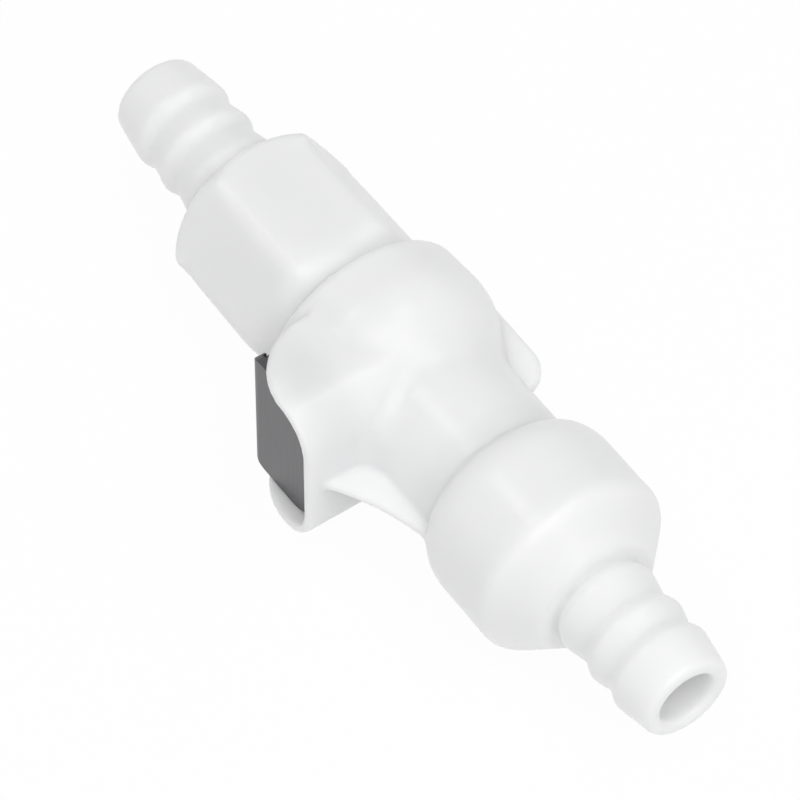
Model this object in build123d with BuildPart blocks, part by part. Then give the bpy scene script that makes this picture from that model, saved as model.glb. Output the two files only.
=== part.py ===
"""Thumb-latch quick disconnect coupling for 3/8 in hose, its two halves joined.

The flow axis is X. The coupler half's hose end is at X = 0 and the insert half lies towards -X.
The thumb latch faces -Y, so the coupling lies on its side with +Z up. All sizes are in mm.
"""
from build123d import *
from math import cos, radians, sin
import os

os.makedirs("parts", exist_ok=True)

# hose barbs
bore_r = 3.2
barb_crest_r = 5.75
barb_root_r = 5.05
barb_tip_r = 4.95
barb_stem_r = 5.0
barb_back = 1.5                            # back slope of each crest
barb_round = 0.5
mouth_round = 0.55                         # coupler's bore starts behind it, at the origin
coupler_crests = (4.8, 8.85, 13.75)        # from the hose end
insert_crests = (5.35, 9.85, 14.35)

# coupler half, lengths along -X from its hose end
cap_foot = 14.7
cap_cone = 4.3
cap_rim = 2.0
collar_length = 5.7
shoulder_length = 4.3
neck_length = 9.8
swell_length = 10.5
crown_length = 2.15                        # widest point to the latch slot
lip_length = 1.7                           # ring in front of the latch slot
cap_foot_r = 6.9
cap_r = 11.1
cap_round = 2.2
collar_r = 11.05
collar_round = 0.3
neck_r = 8.75
swell_r = 12.2
lip_drop = 0.3                             # crown down to the front ring's edge
lip_round = 0.8
chamber_r = 7.6
chamber_past_neck = 3.3
throat_r = 4.4
throat_length = 1.3
cap_spigot = 3.5
cap_spring_depth = 2.5
cap_spring_r = 5.2
weld_gap = 0.02                            # radial gap of welded sockets

# latch housing, heights from the flow axis towards the thumb pad
tower_height = 16.5
tower_half_width = 9.9
tower_length = 12.8
tower_corner = 5.0
tower_wall = 1.05
tower_floor = 9.6
wing_corner = 8.0
tower_blend = 3.0                          # where the tower grows out of the swell and neck
wing_back = 0.25                           # wings behind the latch slot's front face
web_thick = 1.1
web_top = 15.2
web_foot = 9.75
web_foot_x = 2.0                           # past the collar's shoulder edge
web_sag = 1.2
rib_thick = 1.6
rib_height = 12.5
rib_end = 1.4                              # past the swell's start, towards the collar
rib_foot_edge = 0.65                       # straight end left below the rounded corner
rib_ramp = 3.8

# thumb latch, bent from sheet steel
sheet = 1.0
latch_hole_r = 6.55
latch_ring = 1.65
latch_travel = 1.3
latch_face_gap = 0.15
latch_side_gap = 0.3
tongue_half_width = 5.2
tongue_end = 10.4
pad_height = 14.8
pad_half_width = 8.7
pad_rear_gap = 0.4
pad_rear_round = 4.2
pad_front_round = 2.4
bend_r = 0.5
latch_spring_r = 2.4
latch_spring_wire_r = 0.3
latch_spring_turns = 3
latch_pocket = 1.2

# insert half
nose_r = 6.35
running_gap = 0.05
nose_tip_gap = 0.6
nose_round = 0.6
hex_gap = 2.8                              # hexagon to the coupler's front face
hex_flats = 19.3
hex_length = 13.2
hex_draft = 1.0                            # degrees, narrowing towards the hose end
hex_edge_round = 0.3
hex_chamfer = 0.85
hex_chamfer_crown = 0.2                    # bulge of the front chamfer
dome_length = 5.0
dome_foot_r = 5.3
insert_barb = 16.8
socket_depth = 4.8
latch_groove = 2.2
latch_groove_r = 4.9
seal_groove = 1.8
seal_groove_r = 5.0
seal_from_tip = 4.7
nose_seal_wire_r = 0.67
nose_chamber_r = 4.1
nose_throat_r = 2.9
nose_throat = 1.5
spring_tube = 7.2                          # inner tube past the hexagon's face
socket_wall_r = 5.6

# valves
valve_open = 1.7                           # seal off its seat while the halves are joined
valve_stem_r = 1.5
valve_head_r = 5.9
valve_head = 1.5
valve_seal_r = 5.1
valve_seal_wire_r = 0.6
valve_fin = 5.6
valve_fin_thick = 1.2
valve_fin_inner_r = 5.0
valve_boss_r = 3.0
valve_boss = 1.0
valve_spring_r = 4.2
valve_spring_wire_r = 0.35
insert_valve_open = 1.5
insert_valve_stem_r = 1.2
insert_valve_head_r = 3.5
insert_valve_head = 1.4
insert_seal_r = 3.1
insert_seal_wire_r = 0.4
insert_fin = 3.6
insert_fin_thick = 1.0
insert_fin_inner_r = 3.0
insert_boss_r = 2.3
insert_boss = 1.0
insert_spring_r = 3.55
insert_spring_wire_r = 0.25
valve_spring_turns = 4
fin_gap = 0.08
spring_gap = 0.05

lip_r = swell_r - lip_drop
rib_round = rib_height - neck_r + 0.5 - rib_foot_edge

# stations on X
joint_x = -cap_foot - cap_cone - cap_rim
collar_x = joint_x - collar_length
neck_x = collar_x - shoulder_length
swell_x = neck_x - neck_length
crown_x = swell_x - swell_length
slot_rear_x = crown_x - crown_length
plate_rear_x = slot_rear_x - latch_face_gap
plate_front_x = plate_rear_x - sheet
slot_front_x = plate_front_x - latch_face_gap
front_x = slot_front_x - lip_length
chamber_x = neck_x - chamber_past_neck
nose_bore_x = chamber_x - throat_length
nose_tip_x = nose_bore_x - nose_tip_gap
hex_x = front_x - hex_gap
dome_x = hex_x - hex_length
barb_foot_x = dome_x - dome_length
insert_end_x = barb_foot_x - insert_barb
tower_front_x = slot_front_x + wing_back
tower_rear_x = tower_front_x + tower_length
cavity_rear_x = tower_rear_x - tower_wall
cavity_half_width = tower_half_width - tower_wall

# the two valve stems meet here
stems_x = nose_tip_x + 0.2
valve_seal_x = chamber_x + valve_seal_wire_r + valve_open
valve_head_x = valve_seal_x + valve_seal_wire_r / 2
insert_seal_x = nose_tip_x - nose_throat - insert_seal_wire_r - insert_valve_open
insert_head_x = insert_seal_x - insert_seal_wire_r / 2


def turn(*points, mode=Mode.ADD):
    """Solid of revolution about the flow axis, from (x, radius) points."""
    with BuildSketch(Plane.XY) as profile:
        with BuildLine():
            Polyline(*points, close=True)
        make_face()
    revolve(profile.sketch, axis=Axis.X, mode=mode)


def bore(start_x, end_x, radius):
    """Round hole on the flow axis between two stations."""
    turn((start_x, 0), (start_x, radius), (end_x, radius), (end_x, 0), mode=Mode.SUBTRACT)


def seal_ring(x, ring_r, wire_r, mode=Mode.ADD):
    """O-ring around the flow axis, or its seat, with a six-sided section."""
    with BuildSketch(Plane.XY) as section:
        with Locations((x, ring_r)):
            RegularPolygon(wire_r, 6)
    revolve(section.sketch, axis=Axis.X, mode=mode)


def groove(x, width, floor_r, outer_r):
    """Square groove around a nose, centred on x."""
    low, high = x - width / 2, x + width / 2
    turn((low, floor_r), (low, outer_r), (high, outer_r), (high, floor_r), mode=Mode.SUBTRACT)


def hose_barb(end_x, outward, crests, foot):
    """Barbed stem with its hose end at end_x. outward is +1 where that end faces +X."""
    points = [(0, bore_r), (0, barb_tip_r)]
    for place in crests:
        points.append((place, barb_crest_r))
        points.append((place + barb_back, barb_root_r))
    points[-1] = (crests[-1] + barb_back, barb_stem_r)
    points += [(foot, barb_stem_r), (foot, bore_r)]
    with BuildSketch(Plane.XY) as profile:
        with BuildLine():
            Polyline(*[(end_x - outward * place, radius) for place, radius in points], close=True)
        make_face()
        outer = vertices().filter_by(lambda v: v.Y > bore_r + weld_gap)
        outer = outer.filter_by(lambda v: abs(v.X - end_x) < foot - weld_gap)
        crests_and_tip = outer.filter_by(lambda v: v.Y > barb_root_r or abs(v.X - end_x) < weld_gap)
        fillet(crests_and_tip, barb_round)
        mouth = vertices().group_by(Axis.Y)[0]
        fillet(mouth.sort_by(lambda v: abs(v.X - end_x))[0], mouth_round)
    revolve(profile.sketch, axis=Axis.X)


def coil_spring(start, axis, mean_r, wire_r, length, turns):
    """Helical spring between two flat seats, drawn in square wire from start, the first seat's centre."""
    height = length - 2 * (wire_r + spring_gap)
    first = start + axis * (wire_r + spring_gap)
    with BuildLine() as path:
        wire = Helix(height / turns, height, mean_r, center=first, direction=axis)
    with BuildSketch(Plane(origin=wire @ 0, z_dir=wire % 0)) as section:
        RegularPolygon(wire_r, 4)
    sweep(section.sketch, path=path.line)


def guide_fins(count, inner_r, outer_r, thick, start_x, length):
    """Ribs that centre a valve in its chamber, running towards +X for a positive length."""
    with BuildSketch(Plane.YZ.offset(start_x)) as fins:
        with PolarLocations((inner_r + outer_r) / 2, count):
            Rectangle(outer_r - inner_r + thick, thick)
        Circle(outer_r, mode=Mode.INTERSECT)
        Circle(inner_r, mode=Mode.SUBTRACT)
    extrude(fins.sketch, amount=length)


# ---------------------------------------------------------------- latch housing
with BuildPart() as latch_tower:
    with BuildSketch(Plane.XZ):
        with Locations(((tower_front_x + tower_rear_x) / 2, 0)):
            Rectangle(tower_length, 2 * tower_half_width)
        fillet(vertices().group_by(Axis.X)[-1], tower_corner)
    extrude(amount=tower_height)
    with BuildSketch(Plane.XY):
        with Locations(((tower_front_x + tower_rear_x) / 2, -tower_height / 2)):
            Rectangle(tower_length, tower_height)
        fillet(vertices().group_by(Axis.X)[0].sort_by(Axis.Y)[0], wing_corner)
    extrude(amount=tower_half_width, both=True, mode=Mode.INTERSECT)

with BuildPart() as latch_cavity:
    with BuildSketch(Plane.XZ.offset(tower_floor)):
        with Locations(((front_x + cavity_rear_x) / 2, 0)):
            Rectangle(cavity_rear_x - front_x, 2 * cavity_half_width)
        fillet(vertices().group_by(Axis.X)[-1], tower_corner - tower_wall)
    extrude(amount=tower_height)
    with BuildSketch(Plane.XY):
        with BuildLine():
            Polyline(
                (slot_front_x, -tower_floor),
                (slot_front_x, -lip_r),
                (front_x, -lip_r),
                (front_x, -2 * tower_height),
                (cavity_rear_x, -2 * tower_height),
                (cavity_rear_x, -tower_floor),
                close=True,
            )
        make_face()
    extrude(amount=tower_half_width, both=True, mode=Mode.INTERSECT)

with BuildPart() as coupler_body:
    with BuildSketch(Plane.XY):
        with BuildLine():
            Polyline((joint_x, 0), (joint_x, collar_r), (collar_x, collar_r))
            EllipticalCenterArc(
                (collar_x, neck_r), shoulder_length, collar_r - neck_r, start_angle=90, arc_size=90
            )
            Line((neck_x, neck_r), (swell_x, neck_r))
            Spline(
                (swell_x, neck_r),
                (swell_x - 0.4 * swell_length, neck_r + 0.4 * (swell_r - neck_r)),
                (crown_x, swell_r),
                tangents=[(-1, 0), (-1, 0)],
            )
            Polyline((crown_x, swell_r), (front_x, lip_r), (front_x, 0), (joint_x, 0))
        make_face()
        outer = vertices().filter_by(lambda v: v.Y > lip_r - lip_round or v.X > collar_x)
        fillet(outer.sort_by(Axis.X)[0], lip_round)
    revolve(axis=Axis.X)
    rear_rim = edges().filter_by(GeomType.CIRCLE).group_by(Axis.X)[-1]
    fillet(rear_rim, collar_round)
    add(latch_tower.part)
    foot = edges().filter_by(GeomType.BSPLINE).filter_by(lambda e: -swell_r < e.center().Y < 0)
    fillet(foot.filter_by(lambda e: e.center().X > crown_x), tower_blend)
    with BuildSketch(Plane.XY):
        with BuildLine():
            web_mid_x = (tower_rear_x + collar_x - web_foot_x) / 2
            web_mid = (web_top + web_foot) / 2 - web_sag
            ThreePointArc(
                (tower_rear_x - tower_wall / 2, -web_top),
                (web_mid_x, -web_mid),
                (collar_x - web_foot_x, -web_foot),
            )
            Polyline(
                (collar_x - web_foot_x, -web_foot),
                (collar_x - web_foot_x, -neck_r + 0.5),
                (tower_rear_x - tower_wall / 2, -neck_r + 0.5),
                (tower_rear_x - tower_wall / 2, -web_top),
            )
        make_face()
    extrude(amount=web_thick / 2, both=True)
    with BuildSketch(Plane.XY):
        with BuildLine():
            Polyline(
                (slot_rear_x, neck_r - 0.5),
                (slot_rear_x, swell_r - 0.2),
                (slot_rear_x + rib_ramp, rib_height),
                (swell_x + rib_end, rib_height),
                (swell_x + rib_end, neck_r - 0.5),
                close=True,
            )
        make_face()
        fillet(vertices().group_by(Axis.X)[-1].sort_by(Axis.Y)[-1], rib_round)
    extrude(amount=rib_thick / 2, both=True)
    bore(joint_x, chamber_x, chamber_r)
    bore(chamber_x, nose_bore_x, throat_r)
    bore(nose_bore_x, front_x, nose_r + running_gap)
    add(latch_cavity.part, mode=Mode.SUBTRACT)
    with BuildSketch(Plane.YZ.offset(slot_front_x)):
        slot_r = latch_hole_r + latch_ring + latch_side_gap
        with Locations((-latch_travel / 2, 0)):
            SlotCenterToCenter(latch_travel, 2 * slot_r)
        with Locations((swell_r / 2, 0)):
            Rectangle(swell_r + 2, 2 * (tongue_half_width + latch_side_gap))
        with Locations((-tower_floor / 2, 0)):
            Rectangle(tower_floor, 2 * (pad_half_width - pad_front_round + latch_side_gap))
    extrude(amount=slot_rear_x - slot_front_x, mode=Mode.SUBTRACT)
    with BuildSketch(Plane.XZ.offset(tower_floor)):
        with Locations(((plate_rear_x + cavity_rear_x) / 2, 0)):
            Circle(latch_spring_r + 2 * latch_spring_wire_r)
    extrude(amount=-latch_pocket, mode=Mode.SUBTRACT)
coupler_body.part.label = "coupler_body"
export_step(coupler_body.part, "parts/coupler_body.step")

# ---------------------------------------------------------------- coupler's barbed end cap
with BuildPart() as coupler_barb_end:
    hose_barb(mouth_round, 1, coupler_crests, cap_foot + cap_cone)
    spigot_r = chamber_r - weld_gap
    turn(
        (-cap_foot, bore_r),
        (-cap_foot, cap_foot_r),
        (-cap_foot - cap_cone, cap_r),
        (joint_x, cap_r),
        (joint_x, spigot_r),
        (joint_x - cap_spigot, spigot_r),
        (joint_x - cap_spigot, cap_spring_r),
        (joint_x - cap_spigot + cap_spring_depth, cap_spring_r),
        (joint_x - cap_spigot + cap_spring_depth, bore_r),
    )
    rims = edges().filter_by(GeomType.CIRCLE).filter_by(lambda e: e.radius > collar_r)
    fillet(rims.sort_by(Axis.X)[-1], cap_round)
    fillet(rims.sort_by(Axis.X)[0], collar_round)
coupler_barb_end.part.label = "coupler_barb_end"
export_step(coupler_barb_end.part, "parts/coupler_barb_end.step")

# ---------------------------------------------------------------- coupler's valve
with BuildPart() as coupler_valve:
    valve_rear_x = valve_head_x + valve_head
    turn(
        (stems_x, 0),
        (stems_x, valve_stem_r),
        (valve_head_x, valve_stem_r),
        (valve_head_x, valve_head_r),
        (valve_rear_x, valve_head_r),
        (valve_rear_x, valve_boss_r),
        (valve_rear_x + valve_boss, valve_boss_r),
        (valve_rear_x + valve_boss, 0),
    )
    guide_fins(4, valve_fin_inner_r, chamber_r - fin_gap, valve_fin_thick, valve_head_x, valve_fin)
    seal_ring(valve_seal_x, valve_seal_r, valve_seal_wire_r, mode=Mode.SUBTRACT)
coupler_valve.part.label = "coupler_valve"
export_step(coupler_valve.part, "parts/coupler_valve.step")

with BuildPart() as coupler_valve_seal:
    seal_ring(valve_seal_x, valve_seal_r, valve_seal_wire_r)
coupler_valve_seal.part.label = "coupler_valve_seal"
export_step(coupler_valve_seal.part, "parts/coupler_valve_seal.step")

with BuildPart() as coupler_valve_spring:
    cap_seat_x = joint_x - cap_spigot + cap_spring_depth
    coil_spring(
        Vector(valve_rear_x, 0, 0),
        Vector(1, 0, 0),
        valve_spring_r,
        valve_spring_wire_r,
        cap_seat_x - valve_rear_x,
        valve_spring_turns,
    )
coupler_valve_spring.part.label = "coupler_valve_spring"
export_step(coupler_valve_spring.part, "parts/coupler_valve_spring.step")

# ---------------------------------------------------------------- thumb latch
with BuildPart() as latch_outline:
    with BuildSketch(Plane.YZ.offset(plate_front_x)):
        with Locations((-latch_travel, 0)):
            Circle(latch_hole_r + latch_ring)
        with Locations((tongue_end / 2, 0)):
            Rectangle(tongue_end, 2 * tongue_half_width)
        with Locations((-pad_height / 2, 0)):
            Rectangle(pad_height, 2 * (pad_half_width - pad_front_round))
        with Locations((-latch_travel, 0)):
            Circle(latch_hole_r, mode=Mode.SUBTRACT)
    extrude(amount=sheet + bend_r)
    with BuildSketch(Plane.XZ.offset(pad_height - sheet - bend_r)):
        pad_rear_x = cavity_rear_x - pad_rear_gap
        with Locations(((plate_front_x + pad_rear_x) / 2, 0)):
            Rectangle(pad_rear_x - plate_front_x, 2 * pad_half_width)
        fillet(vertices().group_by(Axis.X)[-1], pad_rear_round)
        fillet(vertices().group_by(Axis.X)[0], pad_front_round)
    extrude(amount=sheet + bend_r)

with BuildPart() as thumb_latch:
    with BuildSketch(Plane.XY):
        with BuildLine():
            Polyline(
                (plate_front_x, tongue_end),
                (plate_front_x, -pad_height),
                (pad_rear_x, -pad_height),
                (pad_rear_x, sheet - pad_height),
                (plate_rear_x, sheet - pad_height),
                (plate_rear_x, tongue_end),
                close=True,
            )
        make_face()
        bend = vertices().filter_by(lambda v: v.Y < sheet - pad_height + bend_r and v.X < pad_rear_x - 1)
        fillet(bend.sort_by(Axis.X)[0], bend_r + sheet)
        fillet(bend.sort_by(Axis.X)[-1], bend_r)
    extrude(amount=pad_half_width, both=True)
    add(latch_outline.part, mode=Mode.INTERSECT)
thumb_latch.part.label = "thumb_latch"
export_step(thumb_latch.part, "parts/thumb_latch.step")

with BuildPart() as latch_spring:
    pocket_floor = tower_floor - latch_pocket
    coil_spring(
        Vector((plate_rear_x + cavity_rear_x) / 2, -pocket_floor, 0),
        Vector(0, -1, 0),
        latch_spring_r,
        latch_spring_wire_r,
        pad_height - sheet - pocket_floor,
        latch_spring_turns,
    )
latch_spring.part.label = "latch_spring"
export_step(latch_spring.part, "parts/latch_spring.step")

# ---------------------------------------------------------------- insert's hexagon and barb
hex_corner_r = hex_flats / 3 ** 0.5
hex_lean = radians(hex_draft)
with BuildPart() as hex_envelope:
    with BuildSketch(Plane.XY):
        with BuildLine():
            Polyline(
                (barb_foot_x, dome_foot_r),
                (barb_foot_x, 0),
                (hex_x, 0),
                (hex_x, hex_flats / 2),
            )
            SagittaArc((hex_x, hex_flats / 2), (hex_x - hex_chamfer, hex_corner_r), -hex_chamfer_crown)
            Line((hex_x - hex_chamfer, hex_corner_r), (dome_x, hex_corner_r))
            EllipticalCenterArc(
                (dome_x, dome_foot_r),
                dome_length,
                hex_corner_r - dome_foot_r,
                start_angle=90,
                arc_size=90,
            )
        make_face()
    revolve(axis=Axis.X)

with BuildPart() as insert_hex_barb:
    turn((hex_x, 0), (hex_x, 2 * hex_flats), (barb_foot_x, 2 * hex_flats), (barb_foot_x, 0))
    top_flat = Plane((hex_x, 0, hex_flats / 2), x_dir=(0, 1, 0), z_dir=(-sin(hex_lean), 0, cos(hex_lean)))
    for side in range(6):
        flat = Plane(Rot(X=60 * side) * top_flat.location)
        split(bisect_by=flat, keep=Keep.BOTTOM)
    long_edges = edges().filter_by(lambda e: barb_foot_x < e.center().X < hex_x)
    fillet(long_edges.filter_by(GeomType.LINE), hex_edge_round)
    add(hex_envelope.part, mode=Mode.INTERSECT)
    bore(hex_x, barb_foot_x, bore_r)
    hose_barb(insert_end_x, -1, insert_crests, insert_barb)
    turn(
        (hex_x, nose_chamber_r - weld_gap),
        (hex_x, socket_wall_r + weld_gap),
        (hex_x - socket_depth, socket_wall_r + weld_gap),
        (hex_x - socket_depth, nose_chamber_r - weld_gap),
        mode=Mode.SUBTRACT,
    )
    turn(
        (hex_x - socket_depth, bore_r),
        (hex_x - socket_depth, nose_chamber_r - weld_gap),
        (hex_x + spring_tube, nose_chamber_r - weld_gap),
        (hex_x + spring_tube, bore_r),
    )
insert_hex_barb.part.label = "insert_hex_barb"
export_step(insert_hex_barb.part, "parts/insert_hex_barb.step")

# ---------------------------------------------------------------- insert's nose
with BuildPart() as insert_nose:
    turn(
        (nose_tip_x, nose_throat_r),
        (nose_tip_x, nose_r - nose_round),
        (nose_tip_x - nose_round, nose_r),
        (hex_x, nose_r),
        (hex_x, socket_wall_r),
        (hex_x - socket_depth, socket_wall_r),
        (hex_x - socket_depth, nose_chamber_r),
        (nose_tip_x - nose_throat, nose_chamber_r),
        (nose_tip_x - nose_throat, nose_throat_r),
    )
    groove(nose_tip_x - seal_from_tip, seal_groove, seal_groove_r, nose_r)
    groove((plate_front_x + plate_rear_x) / 2, latch_groove, latch_groove_r, nose_r)
insert_nose.part.label = "insert_nose"
export_step(insert_nose.part, "parts/insert_nose.step")

with BuildPart() as insert_nose_seal:
    nose_seal_r = seal_groove_r + nose_seal_wire_r + weld_gap / 2
    seal_ring(nose_tip_x - seal_from_tip, nose_seal_r, nose_seal_wire_r)
insert_nose_seal.part.label = "insert_nose_seal"
export_step(insert_nose_seal.part, "parts/insert_nose_seal.step")

# ---------------------------------------------------------------- insert's valve
with BuildPart() as insert_valve:
    insert_rear_x = insert_head_x - insert_valve_head
    turn(
        (stems_x, 0),
        (stems_x, insert_valve_stem_r),
        (insert_head_x, insert_valve_stem_r),
        (insert_head_x, insert_valve_head_r),
        (insert_rear_x, insert_valve_head_r),
        (insert_rear_x, insert_boss_r),
        (insert_rear_x - insert_boss, insert_boss_r),
        (insert_rear_x - insert_boss, 0),
    )
    guide_fins(
        3, insert_fin_inner_r, nose_chamber_r - fin_gap, insert_fin_thick, insert_head_x, -insert_fin
    )
    seal_ring(insert_seal_x, insert_seal_r, insert_seal_wire_r, mode=Mode.SUBTRACT)
insert_valve.part.label = "insert_valve"
export_step(insert_valve.part, "parts/insert_valve.step")

with BuildPart() as insert_valve_seal:
    seal_ring(insert_seal_x, insert_seal_r, insert_seal_wire_r)
insert_valve_seal.part.label = "insert_valve_seal"
export_step(insert_valve_seal.part, "parts/insert_valve_seal.step")

with BuildPart() as insert_valve_spring:
    coil_spring(
        Vector(hex_x + spring_tube, 0, 0),
        Vector(1, 0, 0),
        insert_spring_r,
        insert_spring_wire_r,
        insert_head_x - insert_fin - hex_x - spring_tube,
        valve_spring_turns,
    )
insert_valve_spring.part.label = "insert_valve_spring"
export_step(insert_valve_spring.part, "parts/insert_valve_spring.step")
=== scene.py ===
"""Quick disconnect coupling: materials, softened moulded shells, floor, light and camera."""
import math

import bmesh
import bpy
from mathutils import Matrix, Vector


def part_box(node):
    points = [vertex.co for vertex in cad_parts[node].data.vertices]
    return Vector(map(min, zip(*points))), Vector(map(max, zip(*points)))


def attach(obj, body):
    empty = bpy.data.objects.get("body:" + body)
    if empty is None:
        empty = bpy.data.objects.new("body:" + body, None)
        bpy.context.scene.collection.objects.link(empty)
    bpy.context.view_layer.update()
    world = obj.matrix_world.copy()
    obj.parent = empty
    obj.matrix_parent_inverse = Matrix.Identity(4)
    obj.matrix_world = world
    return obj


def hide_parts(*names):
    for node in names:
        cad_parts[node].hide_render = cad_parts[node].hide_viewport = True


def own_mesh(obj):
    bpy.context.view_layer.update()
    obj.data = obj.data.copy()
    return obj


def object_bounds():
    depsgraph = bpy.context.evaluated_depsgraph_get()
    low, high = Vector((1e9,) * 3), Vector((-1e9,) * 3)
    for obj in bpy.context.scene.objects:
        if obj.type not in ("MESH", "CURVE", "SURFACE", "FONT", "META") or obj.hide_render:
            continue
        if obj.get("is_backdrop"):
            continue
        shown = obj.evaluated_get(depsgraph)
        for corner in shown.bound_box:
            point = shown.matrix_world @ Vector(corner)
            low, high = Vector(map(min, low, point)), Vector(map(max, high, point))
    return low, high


bl_info = {
    "name": "Quick Disconnect Coupling",
    "version": (1, 0, 0),
    "blender": (4, 5, 0),
    "location": "3D View > Sidebar > Coupling",
    "description": "Dresses a thumb-latch hose coupling with moulded plastic, stamped steel and rubber",
    "category": "Object",
}

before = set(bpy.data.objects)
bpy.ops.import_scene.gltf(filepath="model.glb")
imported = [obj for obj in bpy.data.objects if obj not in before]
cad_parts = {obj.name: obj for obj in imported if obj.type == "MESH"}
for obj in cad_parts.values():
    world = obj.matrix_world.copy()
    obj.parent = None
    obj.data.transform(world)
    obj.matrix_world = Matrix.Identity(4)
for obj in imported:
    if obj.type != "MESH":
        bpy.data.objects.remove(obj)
MM = 0.001
MERGE = 1e-6                                   # points nearer than this are one
SLIVER = 1e-7                                  # edges shorter than this are dropped

# weld line between the coupler's body and cap
WELD_HALF = 0.6 * MM
WELD_IN_R, WELD_R = 9.6 * MM, 11.04 * MM

# insert's hexagon and the low shoulder in front of it, stations counted from the hexagon's face
SPRING_TUBE = 7.2 * MM                         # inner tube, past the hexagon's face
HEX_REAR, HEX_FRONT = 14.5 * MM, 3.0 * MM
SHOULDER = ((-1.0 * MM, 6.6 * MM), (2.2 * MM, 6.6 * MM), (2.2 * MM, 8.9 * MM), (1.0 * MM, 9.1 * MM),
            (-1.0 * MM, 9.5 * MM))
RING_STEPS = 96

# fixed ends of the three coils, and how far each is pressed
LATCH_SEAT_Y, LATCH_TRAVEL = -8.4 * MM, 1.3 * MM
CAP_SEAT_X, TUBE_SEAT_X, VALVE_TRAVEL = -22.0 * MM, -52.05 * MM, 0.4 * MM

# stage
FLOOR_HALF, FLOOR_DROP = 3.0, 0.2 * MM
FLOOR_WHITE_SHARE = 0.96
WORLD_STRENGTH = 0.55
MIDDLE = Vector((-0.0462, -0.002, 0.0))        # lamps aim here
TARGET = Vector((-0.04621, -0.00206, 0.0))     # the camera aims here
AZIMUTH, ELEVATION = math.radians(55.14), math.radians(52.64)
LAMPS = (                                      # name, offset from the middle, side in metres, watts
    ("front", (0.36, -0.11, 0.55), 0.6, 2.0),
    ("key", (-0.41, -0.33, 0.84), 0.12, 0.5),
    ("top", (0.1, 0.3, 0.93), 0.16, 0.5),
)


def lin(hex_colour):
    """sRGB hex to linear RGBA."""
    parts = [int(hex_colour[i:i + 2], 16) / 255 for i in (1, 3, 5)]
    return tuple(c / 12.92 if c <= 0.04045 else ((c + 0.055) / 1.055) ** 2.4 for c in parts) + (1.0,)


def rgba(colour):
    """A colour setting, which is linear already, with its alpha."""
    return tuple(colour) + (1.0,)


# ---------------------------------------------------------------- settings
class CouplingPlastic(bpy.types.PropertyGroup):
    colour: bpy.props.FloatVectorProperty(
        name="Plastic colour", description="Natural white acetal", subtype="COLOR", size=3,
        min=0, max=1, default=lin("#f6f6f6")[:3])
    translucency: bpy.props.FloatProperty(
        name="Translucency", description="Share of light scattered under the surface",
        subtype="FACTOR", min=0, max=1, default=1.0)
    depth: bpy.props.FloatProperty(
        name="Scatter depth", description="How far light travels inside the plastic",
        unit="LENGTH", min=0.0001, max=0.01, default=0.0018)
    voxel: bpy.props.FloatProperty(
        name="Shell fineness", description="Cell size used to soften the moulded shells",
        unit="LENGTH", min=0.0001, max=0.001, default=0.00031)
    soften: bpy.props.IntProperty(
        name="Softening", description="Smoothing passes over the moulded edges", min=0, max=60, default=8)
    melt: bpy.props.IntProperty(
        name="Hexagon rounding", description="Extra smoothing passes over the hexagon", min=0, max=200, default=76)


class CouplingLatch(bpy.types.PropertyGroup):
    colour: bpy.props.FloatVectorProperty(
        name="Steel colour", description="Stamped stainless sheet", subtype="COLOR", size=3,
        min=0, max=1, default=lin("#6d6d6f")[:3])
    grain: bpy.props.FloatProperty(
        name="Rolling grain", description="Spacing of the sheet's rolling lines",
        unit="LENGTH", min=0.00005, max=0.002, default=0.00025)


class CouplingStage(bpy.types.PropertyGroup):
    distance: bpy.props.FloatProperty(
        name="Camera distance", description="From the middle of the coupling", unit="LENGTH",
        min=0.1, max=3, default=0.6889)
    focal: bpy.props.FloatProperty(
        name="Focal length", description="In millimetres on a 36 mm sensor", min=20, max=600, default=304.7)
    floor_colour: bpy.props.FloatVectorProperty(
        name="Floor colour", description="Pale floor", subtype="COLOR", size=3,
        min=0, max=1, default=lin("#f4f4f4")[:3])


# ---------------------------------------------------------------- shared helpers
def node(tree, kind, inputs=None, links=None, **settings):
    """Adds one shader node with its settings, socket values and incoming links."""
    made = tree.nodes.new(kind)
    for name, value in settings.items():
        setattr(made, name, value)
    for name, value in (inputs or {}).items():
        made.inputs[name].default_value = value
    for name, socket in (links or {}).items():
        tree.links.new(socket, made.inputs[name])
    return made


def blank_material(name):
    """A node material with nothing in it yet, and its node tree."""
    made = bpy.data.materials.get(name) or bpy.data.materials.new(name)
    made.use_nodes = True
    made.node_tree.nodes.clear()
    return made, made.node_tree


def paint(piece, material):
    """Gives a piece one material on every face."""
    piece.data.materials.clear()
    piece.data.materials.append(material)
    for face in piece.data.polygons:
        face.material_index = 0


def turned_ring(*profile):
    """A bmesh ring spun about the flow axis from (x, radius) points."""
    bm = bmesh.new()
    verts = [bm.verts.new((x, 0, r)) for x, r in profile]
    edges = [bm.edges.new((a, b)) for a, b in zip(verts, verts[1:] + verts[:1])]
    bmesh.ops.spin(bm, geom=verts + edges, cent=(0, 0, 0), axis=(1, 0, 0), angle=math.tau, steps=RING_STEPS,
                   use_merge=True)
    bmesh.ops.remove_doubles(bm, verts=bm.verts, dist=MERGE)
    bmesh.ops.recalc_face_normals(bm, faces=bm.faces)
    return bm


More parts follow.
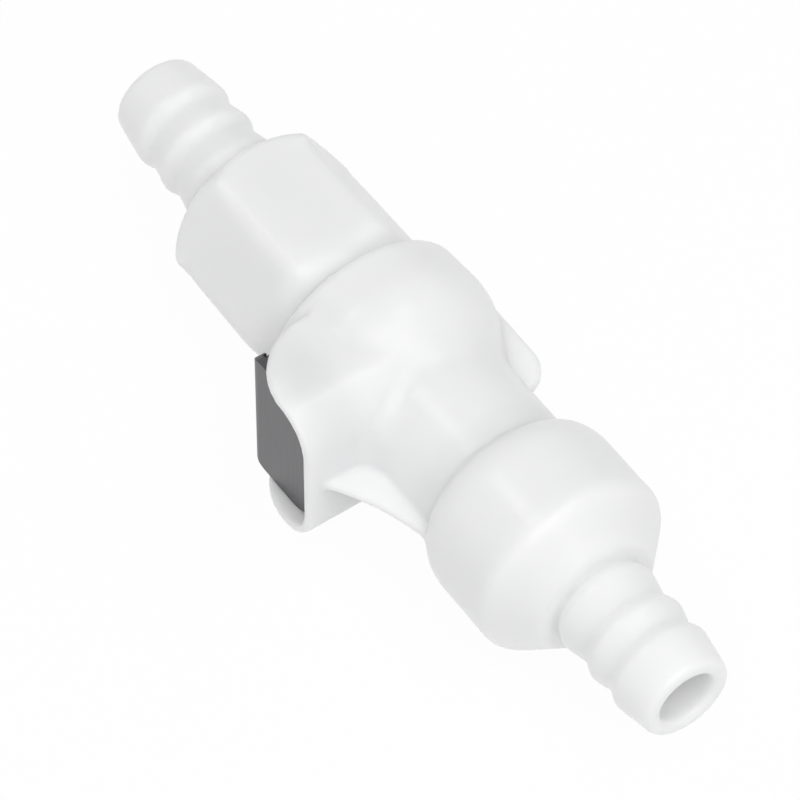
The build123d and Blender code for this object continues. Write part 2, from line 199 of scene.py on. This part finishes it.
def merged_copy(name, cad_nodes, ring=None):
    """A copy of the CAD nodes' meshes with the loose triangles joined, and a turned ring if one is given."""
    mesh = bpy.data.meshes.new(name)
    bm = bmesh.new()
    for cad_node in cad_nodes:
        bm.from_mesh(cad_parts[cad_node].data)
    bmesh.ops.remove_doubles(bm, verts=bm.verts, dist=MERGE)
    bmesh.ops.dissolve_degenerate(bm, dist=SLIVER, edges=bm.edges)
    if ring:
        ring.to_mesh(mesh)
        ring.free()
        bm.from_mesh(mesh)
    bm.to_mesh(mesh)
    bm.free()
    piece = bpy.data.objects.new(name, mesh)
    bpy.context.scene.collection.objects.link(piece)
    return piece


def apply_modifiers(piece):
    """Turns the evaluated mesh into the piece's own mesh."""
    graph = bpy.context.evaluated_depsgraph_get()
    baked = bpy.data.meshes.new_from_object(piece.evaluated_get(graph), depsgraph=graph)
    old = piece.data
    piece.modifiers.clear()
    piece.data = baked
    bpy.data.meshes.remove(old)


def soft_shell(name, voxel, passes, cad_nodes, ring):
    """The CAD shell with the soft, slightly rounded edges that a mould leaves."""
    piece = merged_copy(name, cad_nodes, ring)
    remesh = piece.modifiers.new("Cells", "REMESH")
    remesh.mode = "VOXEL"
    remesh.voxel_size = voxel
    smooth = piece.modifiers.new("Soften", "SMOOTH")
    smooth.factor = 0.5
    smooth.iterations = passes
    apply_modifiers(piece)
    return piece


def melt_edges(piece, start_x, end_x, passes):
    """Extra rounding between two stations on the flow axis."""
    bm = bmesh.new()
    bm.from_mesh(piece.data)
    near = [v for v in bm.verts if start_x < v.co.x < end_x]
    for _ in range(passes):
        bmesh.ops.smooth_vert(bm, verts=near, factor=0.5, use_axis_x=True, use_axis_y=True, use_axis_z=True)
    bm.to_mesh(piece.data)
    bm.free()


def shade_smooth(piece):
    """Smooth shading on every face."""
    for face in piece.data.polygons:
        face.use_smooth = True


# ---------------------------------------------------------------- finishes
def acetal(colour, share, depth):
    """Moulded natural acetal: milky white and satin, so thin walls glow and corners fade softly."""
    material, tree = blank_material("moulded_acetal")
    place = node(tree, "ShaderNodeTexCoord")
    # flow clouds a few millimetres across, as the melt leaves them
    flow = node(tree, "ShaderNodeTexNoise", {"Scale": 160.0, "Detail": 3.0, "Roughness": 0.5},
                {"Vector": place.outputs["Object"]})
    tone = node(tree, "ShaderNodeMix", {"A": lin("#f1f2f2"), "B": rgba(colour)},
                {"Factor": flow.outputs["Fac"]}, data_type="RGBA")
    # mould texture is about 0.1 mm across, drawn at 0.35 mm so that it shows
    skin = node(tree, "ShaderNodeTexNoise", {"Scale": 2800.0, "Detail": 2.0}, {"Vector": place.outputs["Object"]})
    bump = node(tree, "ShaderNodeBump", {"Strength": 0.06, "Distance": 0.00004}, {"Height": skin.outputs["Fac"]})
    shader = node(tree, "ShaderNodeBsdfPrincipled",
                  {"Roughness": 0.3, "IOR": 1.48, "Subsurface Weight": share,
                   "Subsurface Radius": (1.0, 0.98, 0.95), "Subsurface Scale": depth},
                  {"Base Color": tone.outputs["Result"], "Normal": bump.outputs["Normal"]})
    node(tree, "ShaderNodeOutputMaterial", links={"Surface": shader.outputs["BSDF"]})
    return material


def stamped_steel(colour, grain):
    """Stamped stainless sheet: mid grey, satin, with faint rolling lines along the sheet."""
    material, tree = blank_material("stamped_stainless")
    place = node(tree, "ShaderNodeTexCoord")
    stretch = node(tree, "ShaderNodeMapping", {"Scale": (1 / grain, 0.02 / grain, 0.02 / grain)},
                   {"Vector": place.outputs["Object"]})
    lines = node(tree, "ShaderNodeTexNoise", {"Scale": 1.0, "Detail": 3.0}, {"Vector": stretch.outputs["Vector"]})
    rough = node(tree, "ShaderNodeMapRange", {"To Min": 0.34, "To Max": 0.48}, {"Value": lines.outputs["Fac"]})
    bump = node(tree, "ShaderNodeBump", {"Strength": 0.12, "Distance": 0.00002}, {"Height": lines.outputs["Fac"]})
    shader = node(tree, "ShaderNodeBsdfPrincipled",
                  {"Base Color": rgba(colour), "Metallic": 1.0},
                  {"Roughness": rough.outputs["Result"], "Normal": bump.outputs["Normal"]})
    node(tree, "ShaderNodeOutputMaterial", links={"Surface": shader.outputs["BSDF"]})
    return material


def spring_wire():
    """Drawn stainless wire: brighter and smoother than the stamped sheet."""
    material, tree = blank_material("drawn_wire")
    place = node(tree, "ShaderNodeTexCoord")
    marks = node(tree, "ShaderNodeTexNoise", {"Scale": 4000.0, "Detail": 2.0}, {"Vector": place.outputs["Object"]})
    rough = node(tree, "ShaderNodeMapRange", {"To Min": 0.22, "To Max": 0.34}, {"Value": marks.outputs["Fac"]})
    shader = node(tree, "ShaderNodeBsdfPrincipled", {"Base Color": lin("#b9babb"), "Metallic": 1.0},
                  {"Roughness": rough.outputs["Result"]})
    node(tree, "ShaderNodeOutputMaterial", links={"Surface": shader.outputs["BSDF"]})
    return material


def seal_rubber():
    """Black nitrile rubber: matt with a fine moulded grain."""
    material, tree = blank_material("nitrile_rubber")
    place = node(tree, "ShaderNodeTexCoord")
    grain = node(tree, "ShaderNodeTexNoise", {"Scale": 6000.0, "Detail": 2.0}, {"Vector": place.outputs["Object"]})
    bump = node(tree, "ShaderNodeBump", {"Strength": 0.1, "Distance": 0.00002}, {"Height": grain.outputs["Fac"]})
    shader = node(tree, "ShaderNodeBsdfPrincipled", {"Base Color": lin("#232325"), "Roughness": 0.6},
                  {"Normal": bump.outputs["Normal"]})
    node(tree, "ShaderNodeOutputMaterial", links={"Surface": shader.outputs["BSDF"]})
    return material


def pale_floor(colour):
    """Plain pale floor that reads as white to the camera away from the part's shadow."""
    material, tree = blank_material("pale_floor")
    path = node(tree, "ShaderNodeLightPath")
    matt = node(tree, "ShaderNodeBsdfDiffuse", {"Color": rgba(colour)})
    white = node(tree, "ShaderNodeEmission", {"Color": lin("#ffffff"), "Strength": 1.0})
    seen = node(tree, "ShaderNodeMath", operation="MAXIMUM",
                links={0: path.outputs["Is Camera Ray"], 1: path.outputs["Is Glossy Ray"]})
    through = node(tree, "ShaderNodeMath", operation="MAXIMUM",
                   links={0: seen.outputs["Value"], 1: path.outputs["Is Transmission Ray"]})
    # a little of the lit floor stays in view, and carries the soft shadow
    share = node(tree, "ShaderNodeMath", {1: FLOOR_WHITE_SHARE}, {0: through.outputs["Value"]},
                 operation="MULTIPLY")
    both = node(tree, "ShaderNodeMixShader", links={0: share.outputs["Value"], 1: matt.outputs["BSDF"],
                                                    2: white.outputs["Emission"]})
    node(tree, "ShaderNodeOutputMaterial", links={"Surface": both.outputs["Shader"]})
    return material


# ---------------------------------------------------------------- pieces
class COUPLING_OT_shells(bpy.types.Operator):
    """Moulded outer shells of both halves"""
    bl_idname = "coupling.shells"
    bl_label = "Moulded shells"

    def execute(self, context):
        plastic = context.scene.coupling_plastic
        material = acetal(plastic.colour, plastic.translucency, plastic.depth)
        # the coupler's body and cap are spin welded, so their edges melt into each other
        joint_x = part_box("coupler_body")[1][0]
        bead = turned_ring((joint_x - WELD_HALF, WELD_IN_R), (joint_x + WELD_HALF, WELD_IN_R),
                           (joint_x + WELD_HALF, WELD_R), (joint_x - WELD_HALF, WELD_R))
        coupler = soft_shell("coupler_shell", plastic.voxel, plastic.soften,
                             ("coupler_body", "coupler_barb_end"), bead)
        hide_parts("coupler_body", "coupler_barb_end")
        # the hexagon runs out in a low shoulder towards the coupler's mouth
        hex_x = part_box("insert_hex_barb")[1][0] - SPRING_TUBE
        shoulder = turned_ring(*((hex_x + x, r) for x, r in SHOULDER))
        insert = soft_shell("insert_shell", plastic.voxel, plastic.soften, ("insert_hex_barb",), shoulder)
        melt_edges(insert, hex_x - HEX_REAR, hex_x + HEX_FRONT, plastic.melt)
        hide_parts("insert_hex_barb")
        for piece, body in ((coupler, "coupler"), (insert, "insert")):
            shade_smooth(piece)
            paint(piece, material)
            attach(piece, body)
        for cad_node in ("insert_nose", "coupler_valve", "insert_valve"):
            paint(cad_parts[cad_node], material)
        return {"FINISHED"}


class COUPLING_OT_latch(bpy.types.Operator):
    """Stamped steel thumb latch"""
    bl_idname = "coupling.latch"
    bl_label = "Thumb latch"

    def execute(self, context):
        latch = context.scene.coupling_latch
        paint(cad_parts["thumb_latch"], stamped_steel(latch.colour, latch.grain))
        return {"FINISHED"}


class COUPLING_OT_springs_seals(bpy.types.Operator):
    """Springs and rubber seals"""
    bl_idname = "coupling.springs_seals"
    bl_label = "Springs and seals"

    def execute(self, context):
        wire, rubber = spring_wire(), seal_rubber()
        # each coil is a copy of its CAD mesh in drawn wire, set on its half of the coupling
        for name, cad_node, body, joint, axis, seat, travel in (
            ("latch_coil", "latch_spring", "coupler", "latch_press", (0, 1, 0), (0, LATCH_SEAT_Y, 0), LATCH_TRAVEL),
            ("coupler_valve_coil", "coupler_valve_spring", "coupler", "coupler_valve_slide", (1, 0, 0),
             (CAP_SEAT_X, 0, 0), VALVE_TRAVEL),
            ("insert_valve_coil", "insert_valve_spring", "insert", "insert_valve_slide", (1, 0, 0),
             (TUBE_SEAT_X, 0, 0), VALVE_TRAVEL),
        ):
            coil = merged_copy(name, (cad_node,))
            paint(coil, wire)
            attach(coil, body)
            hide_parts(cad_node)
            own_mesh(coil)
        for cad_node in ("coupler_valve_seal", "insert_valve_seal", "insert_nose_seal"):
            paint(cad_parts[cad_node], rubber)
        return {"FINISHED"}


class COUPLING_OT_stage(bpy.types.Operator):
    """Floor, soft light and camera"""
    bl_idname = "coupling.stage"
    bl_label = "Stage"

    def execute(self, context):
        stage = context.scene.coupling_stage
        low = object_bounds()[0]
        mesh = bpy.data.meshes.new("floor")
        bm = bmesh.new()
        bmesh.ops.create_grid(bm, x_segments=1, y_segments=1, size=FLOOR_HALF)
        bmesh.ops.translate(bm, verts=bm.verts, vec=(0, 0, low[2] - FLOOR_DROP))
        bm.to_mesh(mesh)
        bm.free()
        floor = bpy.data.objects.new("floor", mesh)
        context.scene.collection.objects.link(floor)
        paint(floor, pale_floor(stage.floor_colour))
        floor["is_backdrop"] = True

        world = bpy.data.worlds.new("studio")
        context.scene.world = world
        world.use_nodes = True
        tree = world.node_tree
        tree.nodes.clear()
        path = node(tree, "ShaderNodeLightPath")
        soft = node(tree, "ShaderNodeBackground", {"Color": lin("#ffffff"), "Strength": WORLD_STRENGTH})
        white = node(tree, "ShaderNodeBackground", {"Color": lin("#ffffff"), "Strength": 1.0})
        seen = node(tree, "ShaderNodeMixShader", links={0: path.outputs["Is Camera Ray"],
                                                        1: soft.outputs["Background"],
                                                        2: white.outputs["Background"]})
        node(tree, "ShaderNodeOutputWorld", links={"Surface": seen.outputs["Shader"]})

        for name, offset, size, power in LAMPS:
            data = bpy.data.lights.new(name, "AREA")
            data.shape = "SQUARE"
            data.size = size
            data.energy = power
            lamp = bpy.data.objects.new(name, data)
            lamp.location = MIDDLE + Vector(offset)
            lamp.rotation_euler = (MIDDLE - lamp.location).to_track_quat("-Z", "Y").to_euler()
            context.scene.collection.objects.link(lamp)

        back = Vector((math.sin(AZIMUTH) * math.cos(ELEVATION), -math.cos(AZIMUTH) * math.cos(ELEVATION),
                       math.sin(ELEVATION)))
        data = bpy.data.cameras.new("camera")
        data.lens = stage.focal
        data.sensor_width = 36.0
        data.clip_start = 0.01
        camera = bpy.data.objects.new("camera", data)
        camera.location = TARGET + back * stage.distance
        camera.rotation_euler = (-back).to_track_quat("-Z", "Y").to_euler()
        context.scene.collection.objects.link(camera)
        context.scene.camera = camera
        context.scene.view_settings.view_transform = "Standard"
        return {"FINISHED"}


class COUPLING_PT_panel(bpy.types.Panel):
    """Lists the coupling's pieces and their settings"""
    bl_idname = "COUPLING_PT_panel"
    bl_label = "Quick Disconnect Coupling"
    bl_space_type = "VIEW_3D"
    bl_region_type = "UI"
    bl_category = "Coupling"

    def draw(self, context):
        scene = context.scene
        for group, operators in (
            (scene.coupling_plastic, ("coupling.shells",)),
            (scene.coupling_latch, ("coupling.latch", "coupling.springs_seals")),
            (scene.coupling_stage, ("coupling.stage",)),
        ):
            box = self.layout.box()
            for name in group.bl_rna.properties.keys():
                if name not in ("rna_type", "name"):
                    box.prop(group, name)
            for operator in operators:
                box.operator(operator)


CLASSES = (
    CouplingPlastic, CouplingLatch, CouplingStage,
    COUPLING_OT_shells, COUPLING_OT_latch, COUPLING_OT_springs_seals, COUPLING_OT_stage,
    COUPLING_PT_panel,
)


def register():
    for cls in CLASSES:
        bpy.utils.register_class(cls)
    bpy.types.Scene.coupling_plastic = bpy.props.PointerProperty(type=CouplingPlastic)
    bpy.types.Scene.coupling_latch = bpy.props.PointerProperty(type=CouplingLatch)
    bpy.types.Scene.coupling_stage = bpy.props.PointerProperty(type=CouplingStage)


def unregister():
    del bpy.types.Scene.coupling_stage
    del bpy.types.Scene.coupling_latch
    del bpy.types.Scene.coupling_plastic
    for cls in reversed(CLASSES):
        bpy.utils.unregister_class(cls)


def main():
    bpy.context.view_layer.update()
    register()
    bpy.ops.coupling.shells()
    bpy.ops.coupling.latch()
    bpy.ops.coupling.springs_seals()
    bpy.ops.coupling.stage()


if __name__ == "__main__":
    main()
